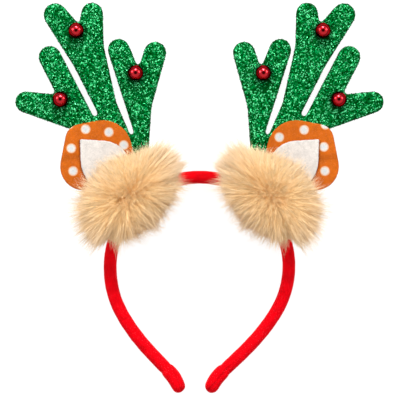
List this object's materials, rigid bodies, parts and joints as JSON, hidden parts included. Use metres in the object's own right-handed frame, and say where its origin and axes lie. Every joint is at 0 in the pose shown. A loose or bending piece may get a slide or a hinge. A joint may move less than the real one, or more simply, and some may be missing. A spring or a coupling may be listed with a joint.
{
  "type": "reindeer antler headband",
  "caption": "Padded arch headband with flat lobed glitter antlers, round beads, felt ears and fur pompoms, lying on its back.",
  "frame": {"origin": "on the flat back of the band, under the middle of its crown, in the plane that it lies on", "axes": "+X to the right as the wearer's front is seen, +Y from the tips over the crown and up the antlers, +Z out of the front"},
  "size_m": [0.2384, 0.2529, 0.0545],
  "materials": {
    "red_velvet": "short red velvet pile with brighter crimson edges",
    "green_glitter": "green glitter cloth over padding, sparkling flakes",
    "red_pearl": "glossy metallic red pearl",
    "orange_felt": "orange-brown felt with printed white dots",
    "cream_felt": "cream-white felt",
    "tan_fur": "long soft tan faux fur, paler at the tips"
  },
  "bodies": {
    "root": {"headband": "red_velvet", "antler_left": "green_glitter", "antler_right": "green_glitter", "bead_left_crown": "red_pearl", "bead_left_outer": "red_pearl", "bead_left_inner": "red_pearl", "bead_right_crown": "red_pearl", "bead_right_outer": "red_pearl", "bead_right_inner": "red_pearl", "ear_left": "orange_felt", "ear_right": "orange_felt", "inner_ear_left": "cream_felt", "inner_ear_right": "cream_felt", "pompom_left": "tan_fur", "pompom_right": "tan_fur"}
  },
  "joints": []
}
